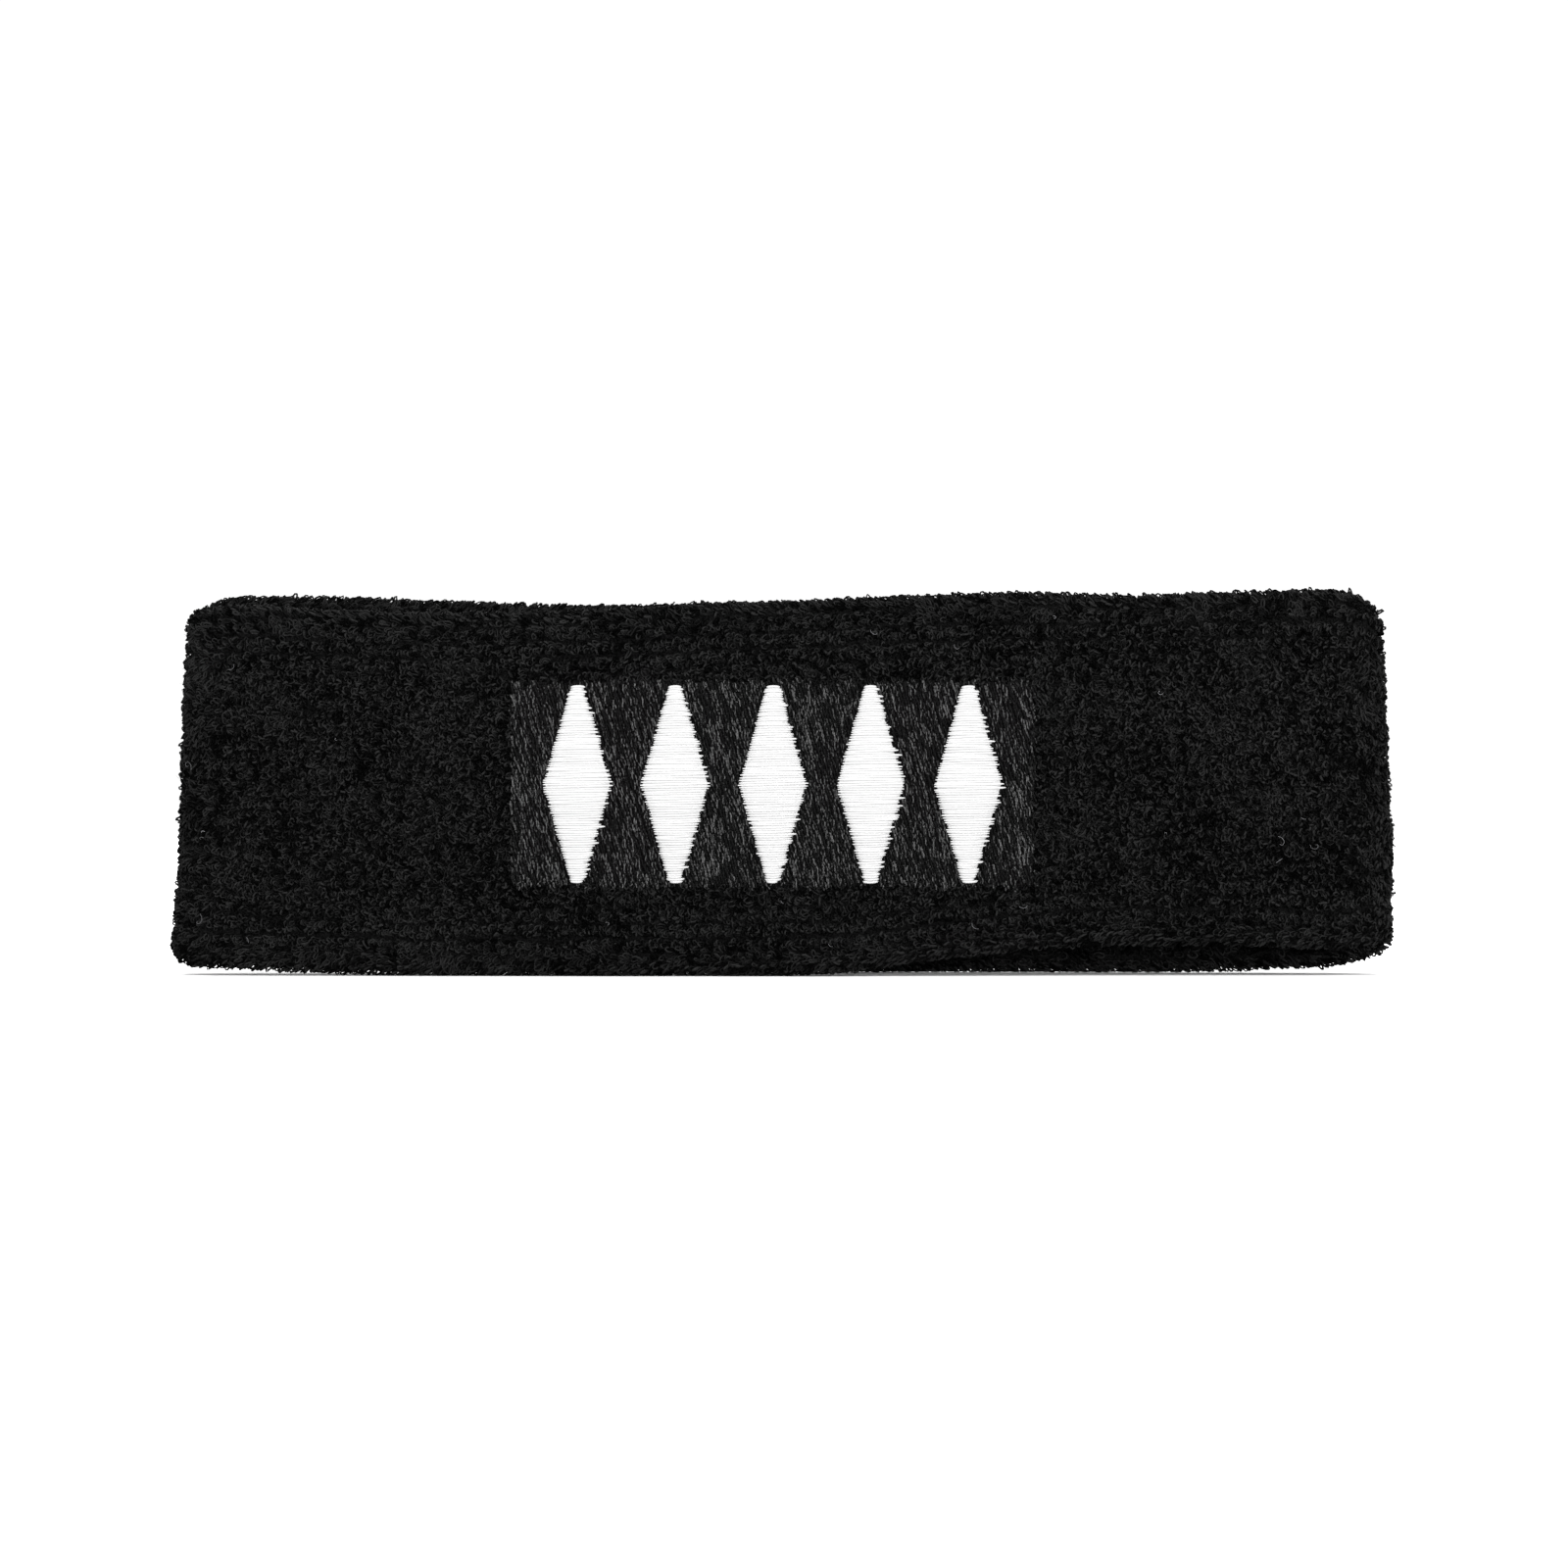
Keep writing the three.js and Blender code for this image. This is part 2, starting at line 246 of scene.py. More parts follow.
def surface(along, across, off, smooth=False):
    """Points of the band, off metres outside the ground cloth, with the directions round the
    band, round the section and off the cloth."""
    along, across, off = np.broadcast_arrays(
        np.asarray(along, float), np.asarray(across, float), np.asarray(off, float)
    )
    x, y, facing = plan(along)
    low = edge_height(low_edge, along)
    side = edge_height(high_edge, along) - low - 2 * ROLL
    c = np.mod(across, AROUND)
    stops = np.cumsum([SIDE / 2, EDGE, SIDE, EDGE])
    skin, bottom, outer, top = (c < s for s in stops)
    t = np.select(
        [skin, bottom, outer, top],
        [0.5 - c / SIDE, 0 * c, (c - stops[1]) / SIDE, 0 * c + 1],
        1 - (c - stops[3]) / SIDE,
    )
    turn = np.select(
        [skin, bottom, outer, top],
        [0 * c + math.pi, math.pi + (c - stops[0]) / CORE, 0 * c, (c - stops[2]) / CORE],
        math.pi,
    )
    out_n, up_n = np.cos(turn), np.sin(turn)
    z = low + ROLL + t * side + up_n * (CORE + off)
    if not smooth:
        off = off + relief(along, z) * np.abs(out_n)
        z = low + ROLL + t * side + up_n * (CORE + off)
    out = out_n * (CORE + off)
    face = np.stack([np.cos(facing), np.sin(facing), 0 * facing], -1)
    points = np.stack(
        [tapered(x + out * face[..., 0], z), y + out * face[..., 1], z], -1
    )
    round_band = np.stack([-np.sin(facing), np.cos(facing), 0 * facing], -1)
    normal = out_n[..., None] * face
    normal[..., 2] = up_n
    return points, round_band, np.cross(normal, round_band), normal


def from_edge(across):
    """Distance round the section from the middle of the nearest rolled edge."""
    half = (SIDE + EDGE) / 2
    return half - np.abs(np.mod(across + half, 2 * half) - half)


def fullness(across):
    """1 along the middle of a rolled edge, falling to 0 where its sides go flat."""
    return np.cos(np.minimum(from_edge(across) / CORE, math.pi / 2)) ** 2


# ---------------------------------------------------------------------------------------------
# Meshes


class Solid:
    """Vertices and faces gathered from several parts, each closed by itself."""

    def __init__(self):
        self.points, self.corners, self.starts = [], [], []
        self.count = self.used = 0

    def add(self, points, *faces):
        for group in faces:
            size = group.shape[-1]
            flat = group.reshape(-1, size)
            self.starts.append(self.used + np.arange(len(flat)) * size)
            self.corners.append((flat + self.count).ravel())
            self.used += flat.size
        self.points.append(points.reshape(-1, 3))
        self.count += len(self.points[-1])

    def piece(self, name, material, slot, replaces=()):
        points, corners = np.concatenate(self.points), np.concatenate(self.corners)
        starts = np.concatenate(self.starts)
        mesh = bpy.data.meshes.new(name)
        mesh.vertices.add(len(points))
        mesh.vertices.foreach_set("co", points.astype(np.float32).ravel())
        mesh.loops.add(len(corners))
        mesh.loops.foreach_set("vertex_index", corners.astype(np.int32))
        mesh.polygons.add(len(starts))
        mesh.polygons.foreach_set("loop_start", starts.astype(np.int32))
        mesh.update(calc_edges=True)
        mesh.shade_smooth()
        mesh.materials.append(material)
        made = bpy.data.objects.new(name, mesh)
        bpy.context.scene.collection.objects.link(made)
        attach(made, "root")
        if replaces:
            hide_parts(*replaces)
        return made


def unit(v):
    return v / np.maximum(np.linalg.norm(v, axis=-1, keepdims=True), 1e-12)


def tubes(solid, paths, radii, up, sides=4, closed=False):
    """Adds tubes along paths of shape (tubes, steps, 3). up gives each point or tube the way its
    section stands. closed joins each end to its start."""
    count, steps, _ = paths.shape
    if closed:
        tangent = unit(np.roll(paths, -1, axis=1) - np.roll(paths, 1, axis=1))
    else:
        tangent = unit(np.gradient(paths, axis=1))
    side = unit(np.cross(tangent, np.broadcast_to(up, paths.shape)))
    stand = np.cross(side, tangent)
    radii = np.broadcast_to(radii, (count, steps))[..., None, None]
    turn = (np.arange(sides) + 0.5) * 2 * math.pi / sides
    ring = (
        np.cos(turn)[:, None] * side[..., None, :]
        + np.sin(turn)[:, None] * stand[..., None, :]
    )
    points = paths[..., None, :] + radii * ring
    index = np.arange(count * steps * sides).reshape(count, steps, sides)
    here = index if closed else index[:, :-1]
    ahead = np.roll(index, -1, axis=1) if closed else index[:, 1:]
    quads = np.stack([here, ahead, np.roll(ahead, 1, axis=2), np.roll(here, 1, axis=2)], -1)
    ends = () if closed else (index[:, 0], index[:, -1, ::-1])
    solid.add(points, quads, *ends)


# ---------------------------------------------------------------------------------------------
# Materials. Each is one Principled shader, with its colour, roughness and bump from nodes.


def cloth_material(
    name, dark, light, grain, roughness, bump,
    specular=0.5, strands=0.0, spread=(0.2, 0.85), broad=None,
):
    """Colour goes from dark to light by noise as fine as grain, by noise as wide as broad where
    that is given, and by a share of strands from one yarn to the next. spread is the part of all
    that over which the ramp runs. roughness is its least and its most, and bump the depth of the
    fine relief."""
    material = bpy.data.materials.new(name)
    material.use_nodes = True
    nodes, links = material.node_tree.nodes, material.node_tree.links
    shader = nodes["Principled BSDF"]
    place = nodes.new("ShaderNodeTexCoord")

    def noise(size):
        node = nodes.new("ShaderNodeTexNoise")
        node.inputs["Scale"].default_value = 1 / size
        links.new(place.outputs["Object"], node.inputs["Vector"])
        return node

    def arithmetic(operation, value, factor, added=None):
        node = nodes.new("ShaderNodeMath")
        node.operation = operation
        node.inputs[1].default_value = factor
        links.new(value, node.inputs[0])
        if added is not None:
            links.new(added, node.inputs[2])
        return node.outputs[0]

    mottle = noise(grain)
    mottle.inputs["Detail"].default_value = 3
    shade = mottle.outputs["Fac"]
    if broad:
        shade = arithmetic("MULTIPLY_ADD", noise(broad).outputs["Fac"], 0.9, shade)
    if strands:
        island = nodes.new("ShaderNodeNewGeometry").outputs["Random Per Island"]
        shade = arithmetic("MULTIPLY", shade, 1.1 - strands)
        shade = arithmetic("MULTIPLY_ADD", island, strands, shade)
    ramp = nodes.new("ShaderNodeValToRGB")
    for element, position, colour in zip(ramp.color_ramp.elements, spread, (dark, light)):
        element.position = position
        element.color = (*colour, 1)
    links.new(shade, ramp.inputs["Fac"])
    links.new(ramp.outputs["Color"], shader.inputs["Base Color"])
    rough = nodes.new("ShaderNodeMapRange")
    rough.inputs["To Min"].default_value, rough.inputs["To Max"].default_value = roughness
    links.new(mottle.outputs["Fac"], rough.inputs["Value"])
    links.new(rough.outputs["Result"], shader.inputs["Roughness"])
    fibres = nodes.new("ShaderNodeBump")
    fibres.inputs["Strength"].default_value = 0.6
    fibres.inputs["Distance"].default_value = bump
    links.new(noise(grain / 4).outputs["Fac"], fibres.inputs["Height"])
    links.new(fibres.outputs["Normal"], shader.inputs["Normal"])
    shader.inputs["Specular IOR Level"].default_value = specular
    return material


terry_yarn = cloth_material(
    "terry_yarn", dark=(0.0005, 0.0005, 0.0005), light=(0.0144, 0.0144, 0.0144),
    grain=0.5 * MM, roughness=(0.6, 0.95), bump=0.05 * MM,
    specular=0.02, strands=0.6, spread=(0.56, 1), broad=11 * MM,
)
# Painted shade: the ground cloth is coloured far darker than the yarn of the loops, so that the
# gaps between loops show dark. The fill's underlay takes the same colour.
ground_knit_painted_shade = cloth_material(
    "ground_knit_painted_shade", dark=(0.0003, 0.0003, 0.0003), light=(0.006, 0.006, 0.006),
    grain=0.25 * MM, roughness=(0.8, 1.0), bump=0.15 * MM,
    specular=0.03, spread=(0.38, 0.62),
)
# Painted highlights: this black thread's colour runs up to a light grey, by ply and by fine noise,
# so that some plies and specks of the fill show as the bright streaks of a shiny thread.
black_thread = cloth_material(
    "black_thread", dark=(0.003, 0.003, 0.003), light=(0.16, 0.16, 0.16),
    grain=0.3 * MM, roughness=(0.25, 0.45), bump=0.02 * MM,
    specular=0.06, strands=0.4, spread=(0.58, 1),
)
white_thread = cloth_material(
    "white_thread", dark=(0.4, 0.4, 0.4), light=(0.45, 0.45, 0.45),
    grain=0.3 * MM, roughness=(0.35, 0.55), bump=0.02 * MM,
    specular=0.3, strands=0.6,
)
seam_thread = cloth_material(
    "seam_thread", dark=(0.012, 0.012, 0.013), light=(0.026, 0.026, 0.028),
    grain=0.3 * MM, roughness=(0.5, 0.7), bump=0.02 * MM, strands=0.6,
)
covered_elastic = cloth_material(
    "covered_elastic", dark=(0.015, 0.015, 0.016), light=(0.04, 0.04, 0.042),
    grain=0.2 * MM, roughness=(0.5, 0.8), bump=0.05 * MM,
)
backing_felt = cloth_material(
    "backing_felt", dark=(0.03, 0.03, 0.033), light=(0.075, 0.075, 0.08),
    grain=0.4 * MM, roughness=(0.85, 1.0), bump=0.06 * MM,
)
lint = cloth_material(
    "lint", dark=(0.05, 0.05, 0.052), light=(0.2, 0.2, 0.21),
    grain=0.5 * MM, roughness=(0.6, 0.8), bump=0.01 * MM, strands=0.6,
)


# ---------------------------------------------------------------------------------------------
# Ground cloth: one closed sheet, from one lip of the seam's opening round to the other


def ground_cloth():
    steps, turns = 720, 66
    lip = SEAM_HEIGHT / 2
    across = np.linspace(lip, AROUND - lip, turns)
    along = np.arange(steps) * girth / steps
    fuller = FULLER * fullness(across[None])
    outer = surface(along[:, None], across[None], fuller)[0]
    inner = surface(along[:, None], across[None], fuller - GROUND)[0]
    skin = np.concatenate([outer, inner[:, ::-1]], axis=1)
    rings = 2 * turns
    index = np.arange(steps * rings).reshape(steps, rings)
    ahead, beside = np.roll(index, -1, axis=0), np.roll(index, -1, axis=1)
    quads = np.stack([index, ahead, np.roll(ahead, -1, axis=1), beside], -1)
    solid = Solid()
    solid.add(skin, quads)
    # The sheet takes the near-black material: painted shade in the gaps between the loops.
    return solid.piece("terry_ground_cloth", ground_knit_painted_shade, "black_terry", ["terry_tube"])


# ---------------------------------------------------------------------------------------------
# Pile: each loop rises from the ground cloth, opens into a rounded head, and leans and twists its
# own way

# How far from the middle of a rolled edge, or from a folded end, the pile starts to change, and
# over what distance it does
ROWS_GATHER = (11 * MM, 6 * MM)  # the rows draw together in fours
LOOPS_ROLL = (4.5 * MM, 2 * MM)  # the loops lie down along the rolled edge
LOOPS_BEND = (8 * MM, 3 * MM)  # and they do round a folded end
GATHER = 0.5 * COURSE  # between neighbouring rows of a four

LOOP_ARC = 0.8 * math.pi  # each way from the loop's head, so that it opens above its foot
# The angles below are in radians, and each spread is the standard deviation from loop to loop
WAY, SWIRL, WAY_SPREAD = -0.82 * math.pi, 1.3, 0.5  # loops lie back along the band and a bit down
LEAN, LEAN_SPREAD, LYING_LEAN = 0.55, 0.3, 0.9  # how far they lean from upright
LEAST_LEAN, MOST_LEAN = 0.1, 1.35
ROLL_SPREAD, TWIST_SPREAD = 0.55, 0.7
BEND_SPREAD = 0.22  # sideways, as a share of the loop's height
PATCH_MARGIN = 0.6 * MM  # how far loops go on under the patch's edge


def closeness(distance, reach, fade):
    """1 nearer than reach less fade, falling to 0 at reach."""
    return np.clip((reach - distance) / fade, 0, 1)


def in_patch(along, across, margin=0.0):
    points = surface(along, across, 0)[0]
    a = np.mod(along + girth / 2, girth) - girth / 2
    outside = (across > OUTSIDE_FROM - EDGE) & (across < OUTSIDE_TO + EDGE)
    return (
        outside
        & (np.abs(a) < panel_length / 2)
        & (np.abs(points[..., 0] - patch_x) < patch_width / 2 - margin)
        & (np.abs(points[..., 2] - patch_z) < patch_height / 2 - margin)
    )


def loop_grid(wale, course, start, end):
    """Where loops stand between two places round the section, in jittered rows."""
    rows = int(round((end - start) / course))
    columns = int(round(girth / wale))
    across, along = np.meshgrid(
        start + (np.arange(rows) + 0.5) * (end - start) / rows,
        np.arange(columns) * girth / columns,
        indexing="ij",
    )
    row = np.arange(rows)[:, None] + 0 * along
    along = along + (row % 2) * 0.5 * girth / columns + RNG.normal(0, 0.16, along.shape) * wale
    across = across + RNG.normal(0, 0.12, across.shape) * course
    return along.ravel(), across.ravel(), row.ravel()


def pile(names, places, steps, length, width, ply):
    """Loops at the given places, shared out among pieces from the front round the band. Each lies
    over its own way and twists as it goes. Towards the rolled edges they lie flatter and along the
    band, and the rows draw together in fours, so that they show as ribs."""
    order = np.argsort(np.mod(places[0], girth), kind="stable")
    along, across, row = (values[order] for values in places)
    count = len(along)
    near = closeness(from_edge(across), *ROWS_GATHER)
    rolled = closeness(from_edge(across), *LOOPS_ROLL)
    from_end = np.abs(np.mod(along, girth / 2) - girth / 4)
    lying = np.maximum(rolled, closeness(from_end, *LOOPS_BEND))
    across = across - GATHER * near * (1 - 0.7 * rolled) * (row % 4 - 1.5)
    foot = 0.05 * MM + 0.7 * FULLER * fullness(across)
    root, round_band, up, normal = surface(along, across, foot)
    way = SWIRL * swirls(along, across) * (1 - 0.5 * near) + WAY * (1 - near) - math.pi * near
    way = way + RNG.normal(0, WAY_SPREAD, count) * (1 - 0.3 * near)
    lean = RNG.normal(LEAN, LEAN_SPREAD, count) * (1 - 0.8 * lying) + LYING_LEAN * lying
    lean = np.clip(lean, LEAST_LEAN, MOST_LEAN)
    flat = np.cos(way)[:, None] * round_band + np.sin(way)[:, None] * up
    axis = np.cos(lean)[:, None] * normal + np.sin(lean)[:, None] * flat
    roll = RNG.normal(0, ROLL_SPREAD, count)
    wide = np.cross(normal, flat) * np.cos(roll)[:, None]
    wide = unit(wide + np.sin(roll)[:, None] * np.cross(axis, np.cross(normal, flat)))
    face = np.cross(axis, wide)
    turn = np.linspace(-LOOP_ARC, LOOP_ARC, steps)[None]
    share = (np.cos(turn) - math.cos(LOOP_ARC)) / (1 - math.cos(LOOP_ARC))
    twist = RNG.normal(0, TWIST_SPREAD, count)[:, None] * turn / LOOP_ARC
    size = RNG.uniform(0.75, 1.2, (2, count, 1))
    spread = width * size[0] * np.sin(turn)
    rise = length * size[1] * share
    bend = RNG.normal(0, BEND_SPREAD, (count, 1)) * rise * share
    paths = (
        root[:, None]
        + (spread * np.cos(twist) + bend)[..., None] * wide[:, None]
        + (spread * np.sin(twist))[..., None] * face[:, None]
        + rise[..., None] * axis[:, None]
    )
    thick = ply * RNG.uniform(0.85, 1.15, (count, 1)) * RNG.uniform(0.8, 1.2, (count, steps))
    paths = paths + RNG.normal(0, 0.03 * MM, paths.shape)
    paths[..., 2] = np.maximum(paths[..., 2], 1.4 * ply)  # none reaches below the floor
    made = []
    for name, part in zip(names, np.array_split(np.arange(count), len(names))):
        solid = Solid()
        tubes(solid, paths[part], thick[part], face[part, None], 3)
        made.append(solid.piece(name, terry_yarn, "black_terry"))
    return made


def outer_pile():
    places = loop_grid(WALE, COURSE, *OUTER_PILE)
    keep = ~in_patch(*places[:2], PATCH_MARGIN)
    places = [values[keep] for values in places]
    names = [f"terry_pile_outside_{i + 1}" for i in range(12)]
    return pile(names, places, steps=7, length=1.2 * MM, width=0.36 * MM, ply=PLY)


def skin_pile():
    made = []
    gap = SEAM_HEIGHT / 2 + 0.3 * MM
    spans = {"below": (gap, OUTER_PILE[0]), "above": (OUTER_PILE[1], AROUND - gap)}
    for name, (start, end) in spans.items():
        places = loop_grid(SKIN_PITCH, SKIN_PITCH, start, end)
        names = [f"terry_pile_skin_side_{name}_{i + 1}" for i in range(2)]
        made += pile(names, places, steps=8, length=1.55 * MM, width=0.55 * MM, ply=1.4 * PLY)
    return made


def on_cloth(cloth, level, climb, raised):
    """Paths from roots on the cloth: how far they run round the band, round the section and off
    the cloth, each of shape (paths, steps)."""
    root, round_band, up, normal = cloth
    return (
        root[:, None]
        + level[..., None] * round_band[:, None]
        + climb[..., None] * up[:, None]
        + raised[..., None] * normal[:, None]
    )


def fuzz(count=7000, steps=5):
    """Fine fibre ends that stand out of the pile."""
    along = RNG.uniform(0, girth, count)
    across = RNG.uniform(SIDE / 2, SIDE * 1.5 + 2 * EDGE, count)
    keep = ~in_patch(along, across)
    along, across = along[keep], across[keep]
    cloth = surface(along, across, PILE * 0.6)
    share = np.linspace(0, 1, steps)[None]
    longest, typical = 1.1 * MM, 0.16 * MM
    length = np.minimum(RNG.gamma(3, typical, len(along)), longest)[:, None]
    turn = RNG.uniform(0, 2 * math.pi, len(along))[:, None]
    slant = RNG.uniform(0.2, 1.3, len(along))[:, None]
    curl = RNG.normal(0, 1.6, len(along))[:, None]
    level = length * share * np.cos(turn + curl * share) * np.sin(slant)
    climb = length * share * np.sin(turn + curl * share) * np.sin(slant)
    paths = on_cloth(cloth, level, climb, length * share * np.cos(slant))
    paths[..., 2] = np.maximum(paths[..., 2], 0.05 * MM)  # none reaches below the floor
    solid = Solid()
    thickness = 0.022 * MM * (1.15 - share)
    tubes(solid, paths, thickness, cloth[1][:, None] + 0.3, 3)
    return solid.piece("terry_fuzz", terry_yarn, "black_terry")


def lint_fibres(count=46, steps=9):
    """A few stray pale fibres that cling to the terry."""
    along = RNG.uniform(0, girth, count)
    across = RNG.uniform(OUTSIDE_FROM, OUTSIDE_TO, count)
    keep = ~in_patch(along, across, -1 * MM)
    along, across = along[keep], across[keep]
    cloth = surface(along, across, PILE)
    share = np.linspace(0, 1, steps)[None]
    length = RNG.uniform(0.3, 1.3, len(along))[:, None] * MM
    turn = RNG.uniform(0, 2 * math.pi, len(along))[:, None]
    curl = RNG.normal(0, 2.4, len(along))[:, None]
    level = length * share * np.cos(turn + curl * share)
    climb = length * share * np.sin(turn + curl * share)
    hump = 0.25 * MM * np.sin(math.pi * share) + 0 * level
    solid = Solid()
    tubes(solid, on_cloth(cloth, level, climb, hump), 0.025 * MM, cloth[3][:, None], 4)
    return solid.piece("lint_fibres", lint, "black_terry")


# ---------------------------------------------------------------------------------------------
# Embroidery. Stitches are laid out flat on the patch, with x along it and z up it, and then put on
# the front panel's curve.


def front_point(x, z, out):
    """A point of the front panel, out metres outside the wall's middle surface."""
    plain = x / (1 - TAPER * z / BAND_HEIGHT)
    angle = plain / panel_radius - math.pi / 2
    radius = panel_radius + out
    y = panel_offset + radius * np.sin(angle)
    return np.stack([tapered(radius * np.cos(angle), z), y, z], -1)


def plane_out(node):
    """How far outside the wall's middle surface a node of the front panel reaches."""
    low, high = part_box(node)
    centre = (low + high) / 2
    return front_point(np.array(centre.x), np.array(centre.z), 0.0)[1] - low.y


def slab(solid, x, z, inside, outside):
    """A closed plate on the front panel over a grid of x and z; outside may vary over the grid."""
    columns, rows = x.shape
    back = front_point(x, z, inside + 0 * x)
    face = front_point(x, z, outside + 0 * x)
    index = np.arange(columns * rows).reshape(columns, rows)
    grid = np.stack([index[:-1, :-1], index[1:, :-1], index[1:, 1:], index[:-1, 1:]], -1)
    rim = np.concatenate([index[:, 0], index[-1, 1:], index[-2::-1, -1], index[0, -2:0:-1]])
    ahead = np.roll(rim, -1)
    walls = np.stack([rim, ahead, ahead + index.size, rim + index.size], -1)
    solid.add(np.stack([back, face]), grid[..., ::-1], grid + index.size, walls)


def fill_lines():
    """Start and end of every stitch of the fill: leaning rows, cut into stitches of about one
    length, with each row's needle holes offset from its neighbour's."""
    across = np.array([math.cos(FILL_LEAN), math.sin(FILL_LEAN)])
    along = np.array([math.sin(FILL_LEAN), -math.cos(FILL_LEAN)])
    half = np.array([patch_width, patch_height]) / 2
    reach = across @ half
    shortest_row, shortest_stitch = 0.6 * MM, 0.5 * MM
    offset = 0.27  # of a stitch, from row to row
    starts, ends = [], []
    for row in range(int(2 * reach / FILL_PITCH)):
        middle = across * (-reach + (row + 0.5) * FILL_PITCH)
        near, far = np.sort([(-half - middle) / along, (half - middle) / along], axis=0)
        low = near.max() + RNG.normal(0.1, 0.3) * MM
        high = far.min() - RNG.normal(0.1, 0.3) * MM
        if high - low < shortest_row:
            continue
        first = low - FILL_STITCH * ((row * offset) % 1)
        cuts = np.arange(first, high + FILL_STITCH, FILL_STITCH)
        cuts = np.unique(np.clip(cuts + RNG.normal(0, 0.25 * MM, len(cuts)), low, high))
        long_enough = np.diff(cuts) > shortest_stitch
        starts.append(middle + along * cuts[:-1][long_enough, None])
        ends.append(middle + along * cuts[1:][long_enough, None])
    return np.concatenate(starts) + (patch_x, patch_z), np.concatenate(ends) + (patch_x, patch_z)


def tatami_underlay(outside):
    """Level threads under the fill."""
    lines = np.arange(
        -patch_height / 2 + 0.5 * MM, patch_height / 2 - UNDERLAY_PITCH, UNDERLAY_PITCH
    )[:, None]
    reach = np.linspace(-1, 1, 60)[None] * (patch_width / 2 - 0.4 * MM)
    depth = 0.65 * MM
    out = outside - depth + RNG.normal(0, 0.02 * MM, lines.shape)
    paths = front_point(patch_x + reach + 0 * lines, patch_z + lines + 0 * reach, out + 0 * reach)
    solid = Solid()
    # Coloured with the ground cloth's near-black material: painted shade where the underlay shows
    # between the stitches of the fill.
    tubes(solid, paths, UNDERLAY_THREAD, FACING_OUT, 4)
    solid.piece("tatami_underlay", ground_knit_painted_shade, "black_thread", ["tatami_fill"])


def tatami_fill(pieces=2, steps=9):
    """Stitches of two twisted plies, bowed out between needle holes, over an underlay."""
    outside = plane_out("tatami_fill")
    tatami_underlay(outside)
    starts, ends = fill_lines()
    share = np.linspace(0, 1, steps)[None]
    bow = np.sin(np.pi * share) ** 0.5
    drift = RNG.normal(0, 0.1 * MM, (2, len(starts), 2))
    starts, ends = starts + drift[0], ends + drift[1]
    at = starts[:, None] + (ends - starts)[:, None] * share[..., None]
    sunk = 0.28 * MM * (1 - bow)  # into the needle holes
    lift = outside - 1.3 * THREAD - sunk
    lift = lift + RNG.normal(0, 0.06 * MM, (len(starts), 1))
    wind = RNG.uniform(0, 2 * math.pi, (len(starts), 1)) + 7.5 * share
    thick = 0.62 * THREAD * (0.8 + 0.2 * bow)
    for piece, part in enumerate(np.array_split(np.arange(len(starts)), pieces)):
        solid = Solid()
        for sign in (1, -1):
            swing = sign * 0.55 * THREAD * np.cos(wind[part])
            heave = sign * 0.45 * THREAD * np.sin(wind[part])
            ply = front_point(at[part, :, 0] + swing, at[part, :, 1], lift[part] + heave)
            tubes(solid, ply, thick, FACING_OUT, 3)
        # The plies take the black thread material, whose colour carries painted highlights.
        name = f"tatami_fill_stitches_{piece + 1}"
        solid.piece(name, black_thread, "black_thread", ["tatami_fill"])


def satin_motif(node):
    """A lozenge of level threads, side by side, crowned over a padding of the same thread."""
    low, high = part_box(node)
    centre_x, centre_z = (low.x + high.x) / 2, (low.z + high.z) / 2
    half_width, half_height = (high.x - low.x) / 2, (high.z - low.z) / 2
    base = plane_out(node) - 0.75 * MM

    def reach(z):
        return SATIN_TIP + (half_width - SATIN_TIP) * (1 - np.abs(z) / half_height)

    solid = Solid()
    u, v = np.meshgrid(np.linspace(-1, 1, 13), np.linspace(-1, 1, 61), indexing="ij")
    z = v * (half_height - 0.25 * MM)
    x = u * (reach(z) - 0.3 * MM)
    height = base + 0.16 * MM + SATIN_CROWN * np.sqrt(np.clip(1 - u**2, 0.02, 1))
    slab(solid, centre_x + x, centre_z + z, base - 0.3 * MM, height)
    count = int(2 * half_height / SATIN_PITCH)
    z = np.linspace(-half_height + THREAD, half_height - THREAD, count)[:, None]
    z = z + RNG.normal(0, 0.015 * MM, z.shape)
    share = np.linspace(-1, 1, 15)[None]
    left = reach(z) + RNG.normal(0, 0.1 * MM, z.shape)
    right = reach(z) + RNG.normal(0, 0.24 * MM, z.shape)
    x = np.where(share < 0, left, right) * share
    sag = 0.12 * MM * (z / half_height) * (1 - share**2)
    slant = RNG.normal(0.02, 0.012, z.shape)
    out = base + SATIN_CROWN * np.sqrt(np.clip(1 - np.abs(share) ** 2.6, 0, 1)) + 0.12 * MM
    out = out + RNG.normal(0, 0.02 * MM, z.shape)
    paths = front_point(centre_x + x, centre_z + z + sag + slant * x, out + 0 * x)
    thick = THREAD * RNG.uniform(0.92, 1.08, z.shape) * (1 - 0.6 * np.abs(share) ** 14)
    tubes(solid, paths, thick, FACING_OUT, 6)
    return solid.piece(f"{node}_threads", white_thread, "white_thread", [node])


# ---------------------------------------------------------------------------------------------
# Seam, tack and elastic yarns


def zigzag(length, pitch, height, points=6):
    """Distances along a flat zigzag with rounded turns, and its height at each."""
    turns = int(round(length / pitch))
    phase = np.arange(turns * points) * 2 * math.pi / points
    wave = np.sin(phase) + 0.18 * np.sin(3 * phase)
    return np.arange(turns * points) * length / (turns * points), height / 2 * wave


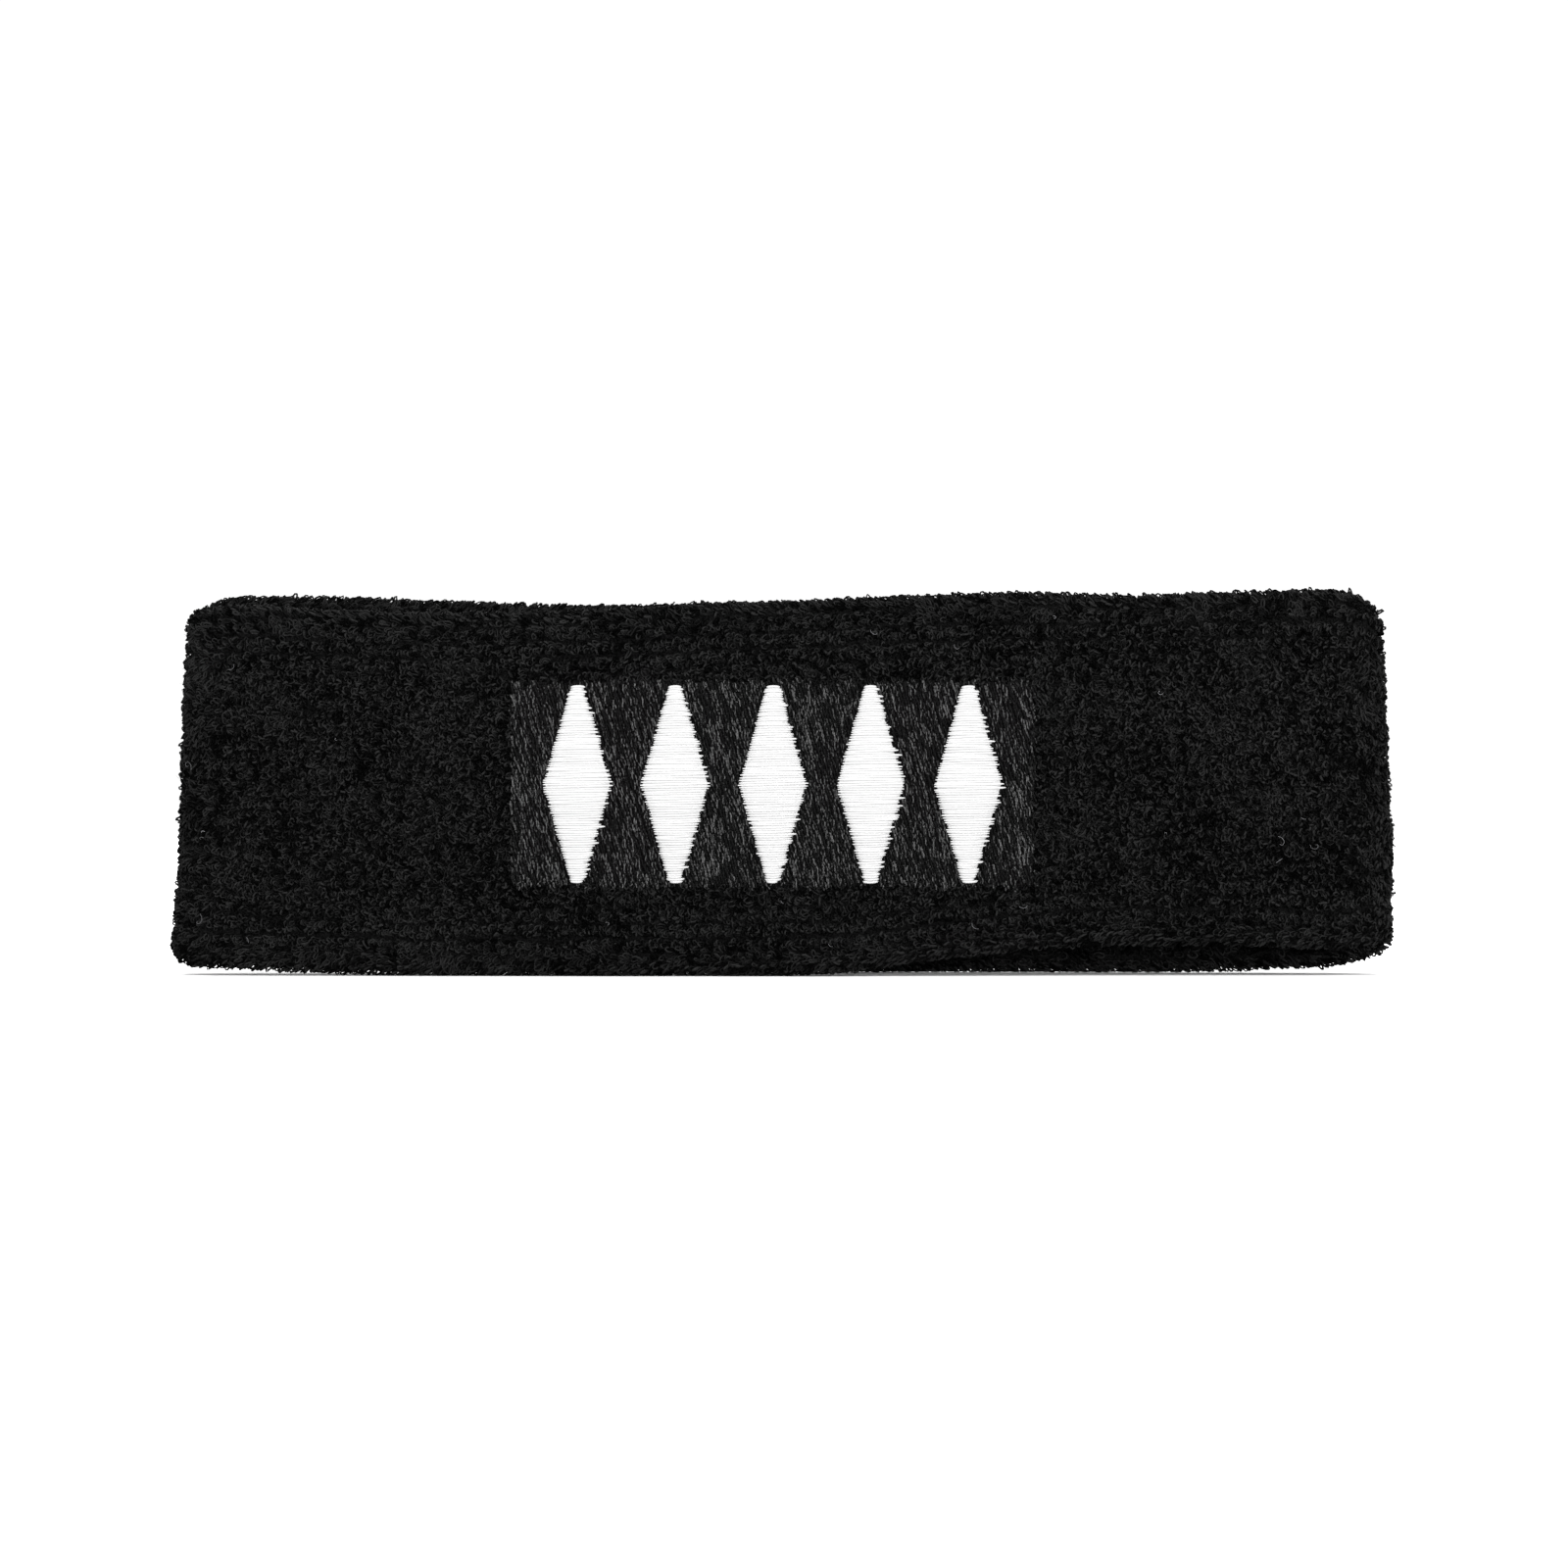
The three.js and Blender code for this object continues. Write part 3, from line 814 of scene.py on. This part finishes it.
def joining_seam(steps=720):
    """Two lips of cloth that meet over the opening, and two zigzags of thread over them."""
    solid = Solid()
    along = np.arange(steps) * girth / steps
    pinches = 110  # round the band, where the thread draws the lips in
    lip = 0.62 * MM * (1 + 0.12 * np.sin(along * 2 * math.pi * pinches / girth))
    for across in (-0.7 * MM, 0.7 * MM):
        path, _, _, normal = surface(along, across, 0.15 * MM, smooth=True)
        tubes(solid, path[None], lip[None], normal[None], 8, closed=True)
    at, height = zigzag(girth, SEAM_PITCH, SEAM_WIDTH)
    for phase, off in ((0.0, 0.85 * MM), (0.5, 0.95 * MM)):
        path, _, _, normal = surface(at + phase * SEAM_PITCH, height, off, smooth=True)
        tubes(solid, path[None], 0.16 * MM, normal[None], 5, closed=True)
    return solid.piece("joining_seam_stitches", seam_thread, "seam_thread", ["joining_seam"])


def seam_tack():
    """A dense zigzag, gone over twice, on three level threads."""
    low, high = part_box("seam_tack")
    middle = (low.z + high.z) / 2
    solid = Solid()
    for row in range(2):
        at, height = zigzag(high.x - low.x, TACK_PITCH, high.z - low.z - 0.4 * MM, 8)
        x = low.x + at + row * TACK_PITCH / 4
        y = high.y - 0.15 * MM - 0.16 * MM * row
        path = np.stack([x, y + 0 * at, middle + height], -1)
        tubes(solid, path[None], 0.15 * MM, -FACING_OUT, 6)
    for z in (-1.0, 0.0, 1.0):
        at = np.linspace(low.x + 0.2 * MM, high.x - 0.2 * MM, 24)
        path = np.stack([at, 0 * at + high.y - 0.1 * MM, 0 * at + middle + z * MM], -1)
        tubes(solid, path[None], 0.2 * MM, -FACING_OUT, 6)
    return solid.piece("seam_tack_stitches", seam_thread, "seam_thread", ["seam_tack"])


def elastic_yarns(steps=900):
    """Elastic ends wound with textured yarn, whose turns show as beads."""
    along = np.arange(steps) * girth / steps
    x, y, facing = plan(along)
    bottom, top = edge_height(low_edge, along), edge_height(high_edge, along)
    windings = 300  # round the band
    beads = 0.3 * MM * (1 + 0.14 * np.sin(along / girth * 2 * math.pi * windings))
    nodes = sorted(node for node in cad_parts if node.startswith("elastic_yarn"))
    for index, node in enumerate(nodes):
        low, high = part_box(node)
        out = (high.y - low.y) / 2 - half_depth - 0.35 * MM  # less the yarn's radius
        z = bottom + YARN_MARGIN + (top - bottom - 2 * YARN_MARGIN) * index / (len(nodes) - 1)
        round_x, round_y = x + out * np.cos(facing), y + out * np.sin(facing)
        path = np.stack([tapered(round_x, z), round_y, z], -1)
        solid = Solid()
        tubes(solid, path[None], beads[None], np.array([0.0, 0.0, 1.0]), 6, closed=True)
        solid.piece(f"{node}_wound", covered_elastic, "covered_elastic", [node])


# ---------------------------------------------------------------------------------------------
# The object

ground = ground_cloth()
loops = outer_pile() + skin_pile() + [fuzz(), lint_fibres()]
tatami_fill()
for number in range(1, 6):
    satin_motif(f"satin_motif_{number}")
joining_seam()
seam_tack()
elastic_yarns()

for node, material in (("bobbin_threads", black_thread), ("stabiliser_backing", backing_felt)):
    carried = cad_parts[node]
    carried.data.materials.clear()
    carried.data.materials.append(material)


# ---------------------------------------------------------------------------------------------
# Stage, light and camera


def stage(size=6.0):
    """A plain pale floor, size metres each way."""
    mesh = bpy.data.meshes.new("floor")
    corners = [(-size, -size, 0), (size, -size, 0), (size, size, 0), (-size, size, 0)]
    mesh.from_pydata(corners, [], [(0, 1, 2, 3)])
    floor = bpy.data.objects.new("floor", mesh)
    bpy.context.scene.collection.objects.link(floor)
    material = bpy.data.materials.new("floor")
    material.use_nodes = True
    shader = material.node_tree.nodes["Principled BSDF"]
    shader.inputs["Base Color"].default_value = (0.95, 0.95, 0.95, 1)
    shader.inputs["Roughness"].default_value = 0.9
    shader.inputs["Specular IOR Level"].default_value = 0.0
    mesh.materials.append(material)


def light(name, place, target, size, power):
    """A soft rectangular lamp at place that faces target."""
    data = bpy.data.lights.new(name, "AREA")
    data.shape = "RECTANGLE"
    data.size, data.size_y = size
    data.energy = power
    lamp = bpy.data.objects.new(name, data)
    lamp.location = place
    lamp.rotation_mode = "QUATERNION"
    lamp.rotation_quaternion = (Vector(target) - Vector(place)).to_track_quat("-Z", "Y")
    bpy.context.scene.collection.objects.link(lamp)


def studio():
    """An even white surround, and soft lamps that bring out the pile and the stitches."""
    world = bpy.data.worlds.new("studio")
    world.use_nodes = True
    sky = world.node_tree.nodes["Background"]
    sky.inputs["Color"].default_value = (1, 1, 1, 1)
    sky.inputs["Strength"].default_value = 1.07
    bpy.context.scene.world = world
    middle = (0, 0, 0.03)
    light("key", (-0.35, -0.75, 0.95), middle, (0.5, 0.5), 9)
    light("fill", (0.8, -0.5, 0.5), middle, (0.6, 0.6), 3)
    light("rim", (0.2, 0.9, 0.8), middle, (0.6, 0.4), 8)
    light("back", (-0.3, 1.3, 0.35), middle, (0.5, 0.4), 12)
    light("front", (0.2, -1.3, 0.1), (0.03, 0, 0.01), (0.3, 0.15), 13)


def camera():
    """Square on to the front, a little above the band's middle, through a long lens."""
    data = bpy.data.cameras.new("camera")
    data.lens = 200
    data.sensor_width = 36
    share = 0.785  # of the frame that the band's length takes up
    middle = Vector((0, 0, (cad_box[0].z + cad_box[1].z) / 2 - 0.5 * MM))
    distance = (tube_high.x - tube_low.x) / share * data.lens / data.sensor_width
    tilt = math.radians(0.5)
    cam = bpy.data.objects.new("camera", data)
    cam.location = middle + distance * Vector((0, -math.cos(tilt), math.sin(tilt)))
    cam.rotation_mode = "QUATERNION"
    cam.rotation_quaternion = (middle - cam.location).to_track_quat("-Z", "Y")
    bpy.context.scene.collection.objects.link(cam)
    bpy.context.scene.camera = cam


stage()
studio()
camera()
bpy.context.scene.view_settings.view_transform = "Standard"
